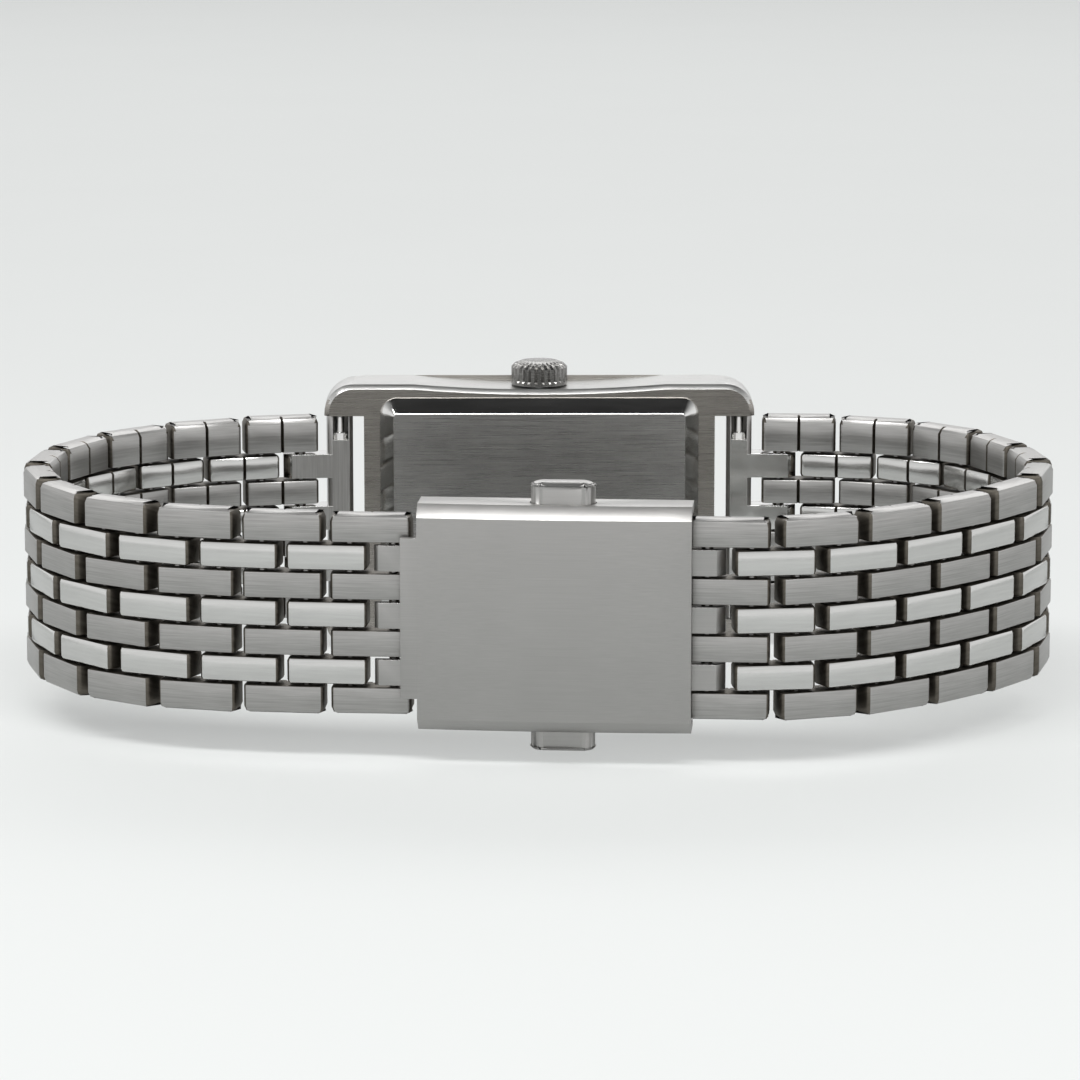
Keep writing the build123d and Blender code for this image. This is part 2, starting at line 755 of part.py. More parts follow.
def button_piece(side):
    """Oval push piece through the cover's flange, kept in by a lip behind it."""
    inside = cover_width / 2 - flange_wall - side_fit
    outside = cover_width / 2 + button_stand
    with BuildPart() as button:
        with BuildSketch(clasp_plane.offset(side * (inside - button_lip_thickness))):
            with Locations((button_place, 0)):
                SlotOverall(button_length, button_width)
        extrude(amount=side * (outside - inside + button_lip_thickness))
        cap = button.faces().sort_by(Axis.Z)[-1 if side > 0 else 0]
        chamfer(cap.edges(), button_edge)
        with BuildSketch(clasp_plane.offset(side * (inside - button_lip_thickness))):
            with Locations((button_place, 0)):
                Rectangle(button_length + 2 * button_lip, button_width + button_lip)
        extrude(amount=side * button_lip_thickness)
    return button.part


pieces["case_middle"] = case_middle_piece()
pieces["crystal"] = crystal_piece()
pieces["caseback"] = caseback_piece()
pieces["seals"] = seal_pieces()
pieces["dial"] = dial_piece()
pieces["movement"] = movement_pieces()
pieces["hour_hand"] = hour_hand_piece()
pieces["minute_hand"] = minute_hand_piece()
pieces["crown"] = crown_piece()
pieces["stem"] = stem_piece()
pieces["spring_bars"] = spring_bar_pieces()
for strand in strands:
    pieces[strand + "_end_piece"] = end_piece(strand)
    for number in range(1, outer_links + 1):
        pieces[f"{strand}_outer_link_{number:02d}"] = outer_link(strand, number)
    for number in range(1, outer_links):
        pieces[f"{strand}_inner_link_{number:02d}"] = inner_link(strand, number)
pieces["clasp_cover"] = clasp_cover_piece()
pieces["clasp_middle_leaf"] = clasp_middle_leaf_piece()
pieces["clasp_inner_leaf"] = clasp_inner_leaf_piece()
pieces["button_top"] = button_piece(1)
pieces["button_bottom"] = button_piece(-1)

# The origin lies on the surface the watch stands on, under the middle of the loop
lows = [piece.bounding_box().min for piece in pieces.values()]
highs = [piece.bounding_box().max for piece in pieces.values()]
middle_x = (min(low.X for low in lows) + max(high.X for high in highs)) / 2
middle_y = (min(low.Y for low in lows) + max(high.Y for high in highs)) / 2
floor_z = min(low.Z for low in lows)
shift = Location((-middle_x, -middle_y, -floor_z))
print("origin moved by", round(-middle_x, 4), round(-middle_y, 4), round(-floor_z, 4))
for name in strands:
    places, headings = strands[name]
    print(name, [(round(x - middle_x, 4), round(y - middle_y, 4)) for x, y in places])
    print(name, [round(heading, 4) for heading in headings])

os.makedirs("parts", exist_ok=True)
for label, piece in pieces.items():
    placed = piece.moved(shift)
    placed.label = label
    export_step(placed, f"parts/{label}.step")
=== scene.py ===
import json
from math import atan2, pi, radians

import bmesh
import bpy
from mathutils import Matrix, Vector

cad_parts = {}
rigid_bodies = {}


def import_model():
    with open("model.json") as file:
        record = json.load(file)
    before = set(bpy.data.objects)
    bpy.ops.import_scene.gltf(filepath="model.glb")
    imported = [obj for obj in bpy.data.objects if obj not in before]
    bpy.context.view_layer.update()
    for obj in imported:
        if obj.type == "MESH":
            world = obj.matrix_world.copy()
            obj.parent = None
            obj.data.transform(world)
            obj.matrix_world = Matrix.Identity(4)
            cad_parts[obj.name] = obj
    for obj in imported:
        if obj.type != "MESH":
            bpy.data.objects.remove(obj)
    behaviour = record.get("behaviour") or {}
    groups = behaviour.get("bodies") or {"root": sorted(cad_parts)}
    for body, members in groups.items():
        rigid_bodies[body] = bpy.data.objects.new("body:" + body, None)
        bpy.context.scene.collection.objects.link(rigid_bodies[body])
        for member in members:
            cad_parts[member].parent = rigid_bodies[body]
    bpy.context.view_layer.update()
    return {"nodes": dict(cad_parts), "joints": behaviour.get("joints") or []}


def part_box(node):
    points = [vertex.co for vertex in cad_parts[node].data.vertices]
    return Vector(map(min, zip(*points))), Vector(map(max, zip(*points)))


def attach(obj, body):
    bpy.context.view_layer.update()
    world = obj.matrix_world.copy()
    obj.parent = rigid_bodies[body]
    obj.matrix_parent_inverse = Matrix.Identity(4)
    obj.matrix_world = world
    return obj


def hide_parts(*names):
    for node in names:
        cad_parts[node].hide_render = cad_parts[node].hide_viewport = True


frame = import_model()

# Rectangular steel watch, closed, standing on its nine o'clock flank with the crown up.
# X runs from six o'clock to twelve, the dial faces +Y, Z is up. Blender works in metres.
mm = 0.001
tiny = 0.00002  # places nearer to each other than this are the same
weld = 0.000002  # the corners of a solid's loose triangles meet within this
straight = 0.99  # an edge or a normal with this share along an axis runs along it
nodes = frame["nodes"]
joints = {joint["name"]: joint for joint in frame["joints"]}
print("frame loaded:", len(nodes), "nodes")


# Helpers for modelling

def deselectAll():
    for obj in bpy.context.scene.objects:
        obj.select_set(False)


def makeActive(obj):
    deselectAll()
    obj.select_set(True)
    bpy.context.view_layer.objects.active = obj


def bakePlace(obj):
    # puts the object's place, turn and size into its mesh
    makeActive(obj)
    bpy.ops.object.transform_apply(location=True, rotation=True, scale=True)


def pick(obj, kind, test):
    # selects the vertices, edges or faces of a mesh in edit mode that pass a test
    bpy.ops.mesh.select_mode(type=kind)
    bpy.ops.mesh.select_all(action="DESELECT")
    mesh = bmesh.from_edit_mesh(obj.data)
    items = {"VERT": mesh.verts, "EDGE": mesh.edges, "FACE": mesh.faces}[kind]
    for item in items:
        if test(item):
            item.select_set(True)
    mesh.select_flush_mode()
    bmesh.update_edit_mesh(obj.data)


def edit(obj):
    makeActive(obj)
    bpy.ops.object.mode_set(mode="EDIT")


def done():
    bpy.ops.object.mode_set(mode="OBJECT")


def upright(edge):
    # an edge that runs along Z
    run = edge.verts[1].co - edge.verts[0].co
    return abs(run.z) > straight * run.length


def smooth(obj, angle):
    makeActive(obj)
    bpy.ops.object.shade_smooth_by_angle(angle=radians(angle))


def join(parts, name):
    deselectAll()
    for part in parts:
        part.select_set(True)
    bpy.context.view_layer.objects.active = parts[0]
    bpy.ops.object.join()
    parts[0].name = name
    return parts[0]


def copyOf(template, name, matrix):
    piece = template.copy()
    piece.data = template.data.copy()
    piece.data.transform(matrix)
    piece.name = name
    bpy.context.scene.collection.objects.link(piece)
    return piece


def roundedNode(node, look):
    # A copy of a solid with its flat faces made whole and its edges broken by a small bevel.
    # flat, angle and smooth are in degrees, bevel in mm, and ground is an area in mm2.
    piece = nodes[node].copy()
    piece.data = nodes[node].data.copy()
    piece.parent = None
    for key in list(piece.keys()):
        del piece[key]
    piece.name = node + "_finished"
    piece.hide_render = piece.hide_viewport = False
    bpy.context.scene.collection.objects.link(piece)
    edit(piece)
    bpy.ops.mesh.select_mode(type="VERT")
    bpy.ops.mesh.select_all(action="SELECT")
    bpy.ops.mesh.remove_doubles(threshold=weld)
    bpy.ops.mesh.dissolve_limited(angle_limit=radians(look["flat"]))
    done()
    piece.data.materials.clear()
    if look["bevel"]:
        bevel = piece.modifiers.new("bevel", "BEVEL")
        bevel.width = look["bevel"] * mm
        bevel.segments = look["segments"]
        bevel.limit_method = "ANGLE"
        bevel.angle_limit = radians(look["angle"])
        makeActive(piece)
        bpy.ops.object.modifier_apply(modifier="bevel")
    smooth(piece, look["smooth"])
    for face in piece.data.polygons:
        if face.area > look["ground"] * mm * mm:
            face.use_smooth = False  # the large faces are ground flat
    return piece


def paint(obj, materials, choose=None):
    # gives a piece its materials, and each face the one that choose returns
    obj.data.materials.clear()
    for material in materials:
        obj.data.materials.append(material)
    if choose:
        for face in obj.data.polygons:
            face.material_index = choose(face)


# Helpers for materials

def linearColor(hexCode):
    channels = [int(hexCode[i:i + 2], 16) / 255 for i in (1, 3, 5)]
    return [c / 12.92 if c <= 0.04045 else ((c + 0.055) / 1.055) ** 2.4 for c in channels] + [1.0]


def addNode(tree, kind, settings=None, links=None):
    # settings: input or property values; links: input name to another node's socket
    node = tree.nodes.new(kind)
    for key, value in (settings or {}).items():
        if isinstance(key, str) and hasattr(node, key):
            setattr(node, key, value)
        else:
            node.inputs[key].default_value = value
    for key, socket in (links or {}).items():
        tree.links.new(socket, node.inputs[key])
    return node


def startMaterial(name, settings):
    material = bpy.data.materials.new(name)
    material.use_nodes = True
    tree = material.node_tree
    tree.nodes.clear()
    shader = addNode(tree, "ShaderNodeBsdfPrincipled", settings)
    addNode(tree, "ShaderNodeOutputMaterial", links={"Surface": shader.outputs[0]})
    return material, tree, shader


bumpDepth = 0.02  # mm, between the lowest and the highest of a finish


def colorAndGloss(tree, shader, pattern, height, span, look):
    # over its span the pattern goes from dark to light and from glossy to matt
    ramp = addNode(tree, "ShaderNodeValToRGB", links={"Fac": pattern})
    for stop, place, tone in zip(ramp.color_ramp.elements, span, (look["dark"], look["light"])):
        stop.position, stop.color = place, linearColor(tone)
    rough = addNode(tree, "ShaderNodeMapRange", {"From Min": span[0], "From Max": span[1],
                    "To Min": look["rough"][0], "To Max": look["rough"][1]}, {"Value": pattern})
    bump = addNode(tree, "ShaderNodeBump", {"Strength": look["bump"], "Distance": bumpDepth * mm},
                   {"Height": height})
    tree.links.new(ramp.outputs[0], shader.inputs["Base Color"])
    tree.links.new(rough.outputs[0], shader.inputs["Roughness"])
    tree.links.new(bump.outputs[0], shader.inputs["Normal"])


# the two noises of every steel, and the span of their mix that its colours cover
steelPattern = {"lineDetail": 3.0, "lineRoughness": 0.6, "markDetail": 4.0,
                "markRoughness": 0.55, "markShare": 0.3, "span": (0.4, 0.9)}


def steel(name, look):
    # Stainless steel 316L. Brushing leaves fine parallel lines that spread the light across
    # them; polishing leaves a clear mirror with faint wipe marks.
    material, tree, shader = startMaterial(name, {"Metallic": 1.0})
    where = addNode(tree, "ShaderNodeTexCoord").outputs[look["coords"]]
    unit = 1 if look["coords"] == "UV" else 1 / mm
    stretch = [unit / length for length in look["grain"]]
    turned = addNode(tree, "ShaderNodeMapping", {"Rotation": (0, 0, radians(look["turn"]))},
                     {"Vector": where}).outputs[0]
    scaled = addNode(tree, "ShaderNodeMapping", {"Scale": stretch}, {"Vector": turned}).outputs[0]
    lines = addNode(tree, "ShaderNodeTexNoise",
                    {"Scale": 1.0, "Detail": steelPattern["lineDetail"],
                     "Roughness": steelPattern["lineRoughness"]},
                    {"Vector": scaled}).outputs["Fac"]
    marksAt = addNode(tree, "ShaderNodeMapping", {"Scale": [unit / look["marks"]] * 3},
                      {"Vector": where}).outputs[0]
    marks = addNode(tree, "ShaderNodeTexNoise",
                    {"Scale": 1.0, "Detail": steelPattern["markDetail"],
                     "Roughness": steelPattern["markRoughness"]},
                    {"Vector": marksAt}).outputs["Fac"]
    mixed = addNode(tree, "ShaderNodeMath",
                    {"operation": "MULTIPLY_ADD", 1: steelPattern["markShare"]},
                    {0: marks, 2: lines}).outputs[0]
    colorAndGloss(tree, shader, mixed, lines, steelPattern["span"], look)
    return material


# grain is the length of a scratch, then its spacing, in mm, drawn a little coarser than a
# fine satin belt leaves it so that it shows at this size; marks is the size of a wipe mark
brickBrushed = steel("brushedSteelBricks", {
    "coords": "UV", "turn": 0, "grain": (4.0, 0.09, 1.0), "marks": 4.0,
    "dark": "#9F9E9C", "light": "#BCBBB9", "rough": (0.3, 0.4), "bump": 0.16})
brickPolished = steel("polishedSteelBricks", {
    "coords": "UV", "turn": 0, "grain": (6.0, 0.3, 1.0), "marks": 3.0,
    "dark": "#CFCFCD", "light": "#DEDEDC", "rough": (0.16, 0.24), "bump": 0.03})
# the end piece's bar is brushed across the strand
brickBrushedEnd = steel("brushedSteelBar", {
    "coords": "Object", "turn": 0, "grain": (0.09, 0.09, 4.0), "marks": 4.0,
    "dark": "#B0AFAD", "light": "#CDCCCA", "rough": (0.3, 0.4), "bump": 0.18})
# where two folds face each other the steel stays as rolled, with a trace of skin oil; its dark
# brown-grey is mostly painted shade, for the shade that falls in the gaps
gapShadeAndOilSteel = steel("foldsShadeAndOil", {
    "coords": "UV", "turn": 0, "grain": (1.0, 0.4, 1.0), "marks": 1.5,
    "dark": "#57534C", "light": "#746F67", "rough": (0.4, 0.55), "bump": 0.1})
# the case is brushed along the watch, its back a shade lighter
caseBrushed = steel("brushedSteelCase", {
    "coords": "Object", "turn": 0, "grain": (6.0, 0.05, 0.05), "marks": 5.0,
    "dark": "#98948F", "light": "#B6B2AC", "rough": (0.24, 0.32), "bump": 0.14})
backBrushed = steel("brushedSteelBack", {
    "coords": "Object", "turn": 0, "grain": (6.0, 0.05, 0.05), "marks": 5.0,
    "dark": "#A1A09F", "light": "#C0BFBD", "rough": (0.24, 0.32), "bump": 0.12})
# the flanks' satin is shallower: a pale, even sheen
flankSatin = steel("satinSteelFlank", {
    "coords": "Object", "turn": 0, "grain": (7.0, 0.12, 0.12), "marks": 5.0,
    "dark": "#C6C6C4", "light": "#D5D5D3", "rough": (0.26, 0.34), "bump": 0.04})
# turned on a lathe, so its fine marks run round it, and painted a little darker than the rest:
# painted shade for the dark that the crown mirrors
crownSteelShaded = steel("turnedSteelCrownShaded", {
    "coords": "Object", "turn": 0, "grain": (0.6, 0.6, 0.08), "marks": 1.5,
    "dark": "#7F7E7C", "light": "#9C9B99", "rough": (0.2, 0.3), "bump": 0.06})
# the clasp is brushed along its own length, which is turned by this many degrees
claspTurn = 4.62
claspBrushed = steel("brushedSteelClasp", {
    "coords": "Object", "turn": claspTurn, "grain": (7.0, 0.05, 0.05), "marks": 6.0,
    "dark": "#AAA9A7", "light": "#B4B3B1", "rough": (0.34, 0.4), "bump": 0.03})
steelPolished = steel("polishedSteel", {
    "coords": "Object", "turn": 0, "grain": (9.0, 1.2, 1.2), "marks": 2.5,
    "dark": "#DADAD8", "light": "#EAEAE8", "rough": (0.06, 0.12), "bump": 0.03})

# the printed line's half length, half height and half width are in mm
dialLook = {
    "coat": 0.4, "coatRough": 0.08, "rays": 38.0, "rayDetail": 4.0, "rough": (0.3, 0.5),
    "track": (7.6, 4.9), "trackHalf": 0.06,
    "dark": "#C9C7C0", "light": "#E9E7E1", "print": "#2A2A2C",
}


def silveredDial(centre):
    # Brass dial, silvered and brushed from its middle outwards, under clear lacquer: a soft
    # star of light that turns with the watch, and one thin printed line round the middle.
    material, tree, shader = startMaterial("silveredDial", {
        "Metallic": 1.0, "Coat Weight": dialLook["coat"], "Coat Roughness": dialLook["coatRough"]})
    where = addNode(tree, "ShaderNodeTexCoord").outputs["Object"]
    moved = addNode(tree, "ShaderNodeMapping", {"Location": [-c / mm for c in centre],
                    "Scale": [1 / mm] * 3}, {"Vector": where}).outputs[0]
    split = addNode(tree, "ShaderNodeSeparateXYZ", links={0: moved}).outputs
    angle = addNode(tree, "ShaderNodeMath", {"operation": "ARCTAN2"}, {0: split[0], 1: split[2]})
    rays = addNode(tree, "ShaderNodeTexNoise",
                   {"noise_dimensions": "1D", "Scale": dialLook["rays"],
                    "Detail": dialLook["rayDetail"]}, {"W": angle.outputs[0]}).outputs["Fac"]
    sides = []
    for socket, half in zip((split[0], split[2]), dialLook["track"]):
        size = addNode(tree, "ShaderNodeMath", {"operation": "ABSOLUTE"}, {0: socket}).outputs[0]
        sides.append(addNode(tree, "ShaderNodeMath", {"operation": "SUBTRACT", 1: half},
                             {0: size}).outputs[0])
    edge = addNode(tree, "ShaderNodeMath", {"operation": "MAXIMUM"}, {0: sides[0], 1: sides[1]})
    track = addNode(tree, "ShaderNodeMath",
                    {"operation": "COMPARE", 1: 0.0, 2: dialLook["trackHalf"]},
                    {0: edge.outputs[0]}).outputs[0]
    ramp = addNode(tree, "ShaderNodeValToRGB", links={"Fac": rays})
    ramp.color_ramp.elements[0].color = linearColor(dialLook["dark"])
    ramp.color_ramp.elements[1].color = linearColor(dialLook["light"])
    mixed = addNode(tree, "ShaderNodeMix",
                    {"data_type": "RGBA", 7: linearColor(dialLook["print"])},
                    {0: track, 6: ramp.outputs[0]})
    rough = addNode(tree, "ShaderNodeMapRange", {"To Min": dialLook["rough"][0],
                    "To Max": dialLook["rough"][1]}, {"Value": rays})
    tree.links.new(mixed.outputs[2], shader.inputs["Base Color"])
    tree.links.new(rough.outputs[0], shader.inputs["Roughness"])
    return material


# the one noise of the other finishes, and the span of it that their colours cover
cloud = {"detail": 5.0, "span": (0.35, 0.65)}


def simpleFinish(name, settings, look):
    # an even finish with a fine cloud in colour, gloss and height, at a size in mm
    material, tree, shader = startMaterial(name, settings)
    where = addNode(tree, "ShaderNodeTexCoord").outputs["Object"]
    noise = addNode(tree, "ShaderNodeTexNoise",
                    {"Scale": 1 / (look["size"] * mm), "Detail": cloud["detail"]},
                    {"Vector": where}).outputs["Fac"]
    colorAndGloss(tree, shader, noise, noise, cloud["span"], look)
    return material


# Nitrile rubber, moulded: dull black with a grey bloom
sealRubber = simpleFinish("mouldedNitrile", {"IOR": 1.52}, {
    "dark": "#1A1A1B", "light": "#242425", "size": 0.4, "rough": (0.55, 0.7), "bump": 0.3})
# Nickel-plated brass plates, blasted: a warm even satin
nickelPlate = simpleFinish("nickelPlatedBrass", {"Metallic": 1.0}, {
    "dark": "#B9AE93", "light": "#CFC6AE", "size": 0.3, "rough": (0.3, 0.42), "bump": 0.25})
# Blued steel, polished flat: nearly black, deep blue where it catches the light
bluedSteel = simpleFinish("bluedSteel", {"Metallic": 1.0}, {
    "dark": "#1C2440", "light": "#26305A", "size": 1.5, "rough": (0.12, 0.2), "bump": 0.02})
# Mineral crystal, ground and polished: clear, with the faintest smear left by a cloth
crystalGlass = simpleFinish("mineralCrystal", {"IOR": 1.52, "Transmission Weight": 1.0}, {
    "dark": "#F6F9F9", "light": "#FCFDFD", "size": 6.0, "rough": (0.0, 0.02), "bump": 0.01})
print("materials made")


# Bracelet. A brick is a steel strip folded flat round its pins, with the strip's two ends
# meeting in a seam across the middle of its inner face. Lengths are in mm.
brick = {
    "length": 6.45, "thickness": 2.4, "row": 2.08, "rowGap": 0.22,
    "endRound": 0.4, "endSteps": 3, "seamHalf": 0.14, "seamDepth": 0.3,
    "edgeBrushed": 0.13, "edgePolished": 0.28, "edgeOutside": 0.55, "edgeSteps": 2,
    "pinRadius": 0.42, "pinGrip": 0.9, "pinPitch": 3.5, "pinSides": 16, "pinEdge": 0.08,
    "smooth": 34,
    # how squarely a face looks at the next row, or at the next brick of its row
    "sideways": 0.6, "endways": 0.3,
    # the map's slip from one fold to the next, and how level a face is that it runs across
    "slip": 0.37, "level": 0.7,
}


def makeBrick(low, high, edges):
    # low and high across the strand, each with its own edge, inner face towards +Y
    inner = brick["thickness"] / 2 * mm
    bpy.ops.mesh.primitive_cube_add(size=1, location=(0, 0, (low + high) / 2 * mm))
    piece = bpy.context.object
    piece.scale = (brick["length"] * mm, brick["thickness"] * mm, (high - low) * mm)
    bakePlace(piece)
    edit(piece)
    pick(piece, "EDGE", upright)
    bpy.ops.mesh.bevel(offset=brick["endRound"] * mm, segments=brick["endSteps"], affect="EDGES")
    for place in (-brick["seamHalf"], 0, brick["seamHalf"]):
        bpy.ops.mesh.select_all(action="SELECT")
        bpy.ops.mesh.bisect(plane_co=(place * mm, 0, 0), plane_no=(1, 0, 0))
    pick(piece, "VERT", lambda v: abs(v.co.x) < tiny and v.co.y > inner - tiny)
    bpy.ops.transform.translate(value=(0, -brick["seamDepth"] * mm, 0))
    for level, edge in zip((low, high), edges):
        # the rim, where a level face meets an upright one
        pick(piece, "EDGE", lambda e: all(abs(v.co.z - level * mm) < tiny for v in e.verts)
             and len({round(f.normal.z) for f in e.link_faces}) == 2)
        bpy.ops.mesh.bevel(offset=edge * mm, segments=brick["edgeSteps"], affect="EDGES")
    done()
    smooth(piece, brick["smooth"])
    return piece


def makePin(reach, place):
    # an upright pin with broken ends, reaching as far up as down
    bpy.ops.mesh.primitive_cylinder_add(vertices=brick["pinSides"], depth=2 * reach * mm,
                                        radius=brick["pinRadius"] * mm,
                                        location=(place * mm, 0, 0))
    piece = bpy.context.object
    bakePlace(piece)
    edit(piece)
    pick(piece, "EDGE", lambda e: not upright(e))
    bpy.ops.mesh.bevel(offset=brick["pinEdge"] * mm, segments=brick["edgeSteps"], affect="EDGES")
    done()
    smooth(piece, brick["smooth"])
    return piece


def flatMap(obj):
    # the piece's own map in mm: along the strand, then across it, so that the grain turns
    # with each link
    layer = obj.data.uv_layers.active or obj.data.uv_layers.new(name="strandMap")
    for face in obj.data.polygons:
        for index in face.loop_indices:
            point = obj.data.vertices[obj.data.loops[index].vertex_index].co / mm
            across = point.y if abs(face.normal.z) > brick["level"] else point.z
            layer.data[index].uv = (point.x, across + brick["slip"] * point.y)


def rowStart(mark):
    return mark * (brick["row"] + brick["rowGap"]) - brick["row"] / 2


def inShadedGap(face, halfWidth):
    # bricks face each other across the gaps and between the rows, where no wheel reaches; these
    # faces get the painted shade of the folds
    inside = abs(face.center.z) < (halfWidth - brick["edgeOutside"]) * mm
    between = inside and abs(face.normal.z) > brick["sideways"]
    return 1 if between or abs(face.normal.x) > brick["endways"] else 0


def outerTemplate(number, halfWidth):
    # four brushed bricks on two pins; the outer rows narrow towards the clasp
    start = 2 * (brick["row"] + brick["rowGap"]) + brick["row"] / 2 + brick["rowGap"]
    bands = [(-halfWidth, -start), (rowStart(-1), rowStart(-1) + brick["row"]),
             (rowStart(1), rowStart(1) + brick["row"]), (start, halfWidth)]
    fine, outside = brick["edgeBrushed"], brick["edgeOutside"]
    edges = [(outside, fine), (fine, fine), (fine, fine), (fine, outside)]
    parts = [makeBrick(low, high, pair) for (low, high), pair in zip(bands, edges)]
    for place in (-brick["pinPitch"] / 2, brick["pinPitch"] / 2):
        parts.append(makePin(start + brick["pinGrip"], place))
    template = join(parts, f"outerTemplate{number}")
    flatMap(template)
    # the faces in the gaps are painted dark: painted shade
    paint(template, [brickBrushed, gapShadeAndOilSteel], lambda face: inShadedGap(face, halfWidth))
    return template


def innerTemplate():
    # three polished bricks, a little domed by the polishing wheel
    edge = brick["edgePolished"]
    parts = [makeBrick(rowStart(mark), rowStart(mark) + brick["row"], (edge, edge))
             for mark in (-2, 0, 2)]
    template = join(parts, "innerTemplate")
    flatMap(template)
    # this link has no outer row, so a half width beyond all its bricks is right for each; the
    # faces in its gaps get painted shade
    paint(template, [brickPolished, gapShadeAndOilSteel], lambda face: inShadedGap(face, brick["length"]))
    return template


def boxCentre(node):
    low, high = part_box(node)
    return (low + high) / 2


def linkMatrix(strand, centre, pin):
    # turns a template so that its X runs along the strand and its +Y faces the wrist
    heading = atan2(centre.y - pin[1], centre.x - pin[0])
    if strand == "twelve":
        heading += pi
    return Matrix.Translation(centre) @ Matrix.Rotation(heading, 4, "Z")


deselectAll()
inner = innerTemplate()
outerTemplates = {}
outerCount = 11
for number in range(1, outerCount + 1):
    low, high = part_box(f"six_outer_link_{number:02d}")
    outerTemplates[number] = outerTemplate(number, (high.z - low.z) / 2 / mm)
for strand in ("twelve", "six"):
    for kind, count in (("outer", outerCount), ("inner", outerCount - 1)):
        for number in range(1, count + 1):
            node = f"{strand}_{kind}_link_{number:02d}"
            template = outerTemplates[number] if kind == "outer" else inner
            pin = joints[node + "_pivot"]["pos_m"]
            link = copyOf(template, f"{node}_bricks", linkMatrix(strand, boxCentre(node), pin))
            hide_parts(node)
            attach(link, node)
for template in (inner, *outerTemplates.values()):
    bpy.data.objects.remove(template)
print("bracelet links placed")

# End pieces: a brushed bar round the spring bar, notched for the tool, with three polished
# half bricks. bar is how far the bar reaches from its pin, in mm.
endLook = {"flat": 0.5, "bevel": 0.12, "segments": 2, "angle": 25, "smooth": 30, "ground": 6,
           "bar": 1.15}


def onHalfBrick(face, pin):
    bar = endLook["bar"] * mm
    away = (face.center - pin).xy.length > bar and abs(face.center.x - pin.x) > bar
    return 1 if away else 0


for strand in ("twelve", "six"):
    node = strand + "_end_piece"
    pin = Vector(joints[node + "_pivot"]["pos_m"])
    piece = roundedNode(node, endLook)
    paint(piece, [brickBrushedEnd, steelPolished], lambda face: onHalfBrick(face, pin))
    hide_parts(node)
    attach(piece, node)
print("end pieces finished")

# Case middle: its flanks are satin, the slope of the lugs is polished, the back and the
# lugs' ends are brushed. facing is how squarely a face looks up or at the dial's side.
caseLook = {"flat": 0.5, "bevel": 0.12, "segments": 2, "angle": 30, "smooth": 28, "ground": 6,
            "facing": 0.3}


def caseFinish(face):
    if abs(face.normal.z) > caseLook["facing"]:
        return 1
    return 2 if face.normal.y > caseLook["facing"] else 0


casePiece = roundedNode("case_middle", caseLook)
paint(casePiece, [caseBrushed, flankSatin, steelPolished], caseFinish)
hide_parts("case_middle")
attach(casePiece, "case")

# Caseback: the flat is brushed along the watch, the broad bevel round it is mirror polished
backLook = {"flat": 0.5, "bevel": 0.06, "segments": 2, "angle": 25, "smooth": 28, "ground": 6,
            "facing": 0.95}
backPiece = roundedNode("caseback", backLook)
paint(backPiece, [backBrushed, steelPolished],
      lambda face: 0 if face.normal.y < -backLook["facing"] else 1)
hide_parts("caseback")
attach(backPiece, "case")

# Clasp: the folded cover and its two leaves, with broken edges
coverLook = {"flat": 0.5, "bevel": 0.1, "segments": 2, "angle": 25, "smooth": 28, "ground": 60}
coverPiece = roundedNode("clasp_cover", coverLook)
paint(coverPiece, [claspBrushed])
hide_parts("clasp_cover")
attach(coverPiece, "clasp_cover")
leafLook = {"flat": 0.5, "bevel": 0.08, "segments": 2, "angle": 35, "smooth": 32, "ground": 6}
for node in ("clasp_middle_leaf", "clasp_inner_leaf"):
    leaf = roundedNode(node, leafLook)
    paint(leaf, [claspBrushed])
    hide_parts(node)
    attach(leaf, node)

# Buttons: the finger's side is rounded to a low dome
buttonLook = {"flat": 0.5, "bevel": 0, "smooth": 40, "ground": 6, "round": 0.5, "steps": 4}
for node in ("button_top", "button_bottom"):
    button = roundedNode(node, buttonLook)
    low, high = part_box(node)
    outer = high.z if node == "button_top" else low.z
    edit(button)
    pick(button, "EDGE", lambda e: all(abs(v.co.z - outer) < tiny for v in e.verts))
    bpy.ops.mesh.bevel(offset=buttonLook["round"] * mm, segments=buttonLook["steps"],
                       affect="EDGES")
    done()
    smooth(button, buttonLook["smooth"])
    paint(button, [claspBrushed])
    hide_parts(node)
    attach(button, node)
print("case and clasp finished")

# Crown: fluted body on a thin skirt, with a low domed top. Lengths are in mm, and each step
# of the dome has a share of the width of the step before and a share of the whole rise.
crown = {"flutes": 26, "fluteSteps": 4, "fluteDepth": 0.2, "skirt": 0.25, "skirtEdge": 0.12,
         "topRound": 0.3, "dome": 0.3, "capCorners": 20, "smooth": 30,
         "domeShares": ((0.93, 0.0), (0.97, 0.25), (0.84, 0.4), (0.66, 0.25), (0.35, 0.1))}


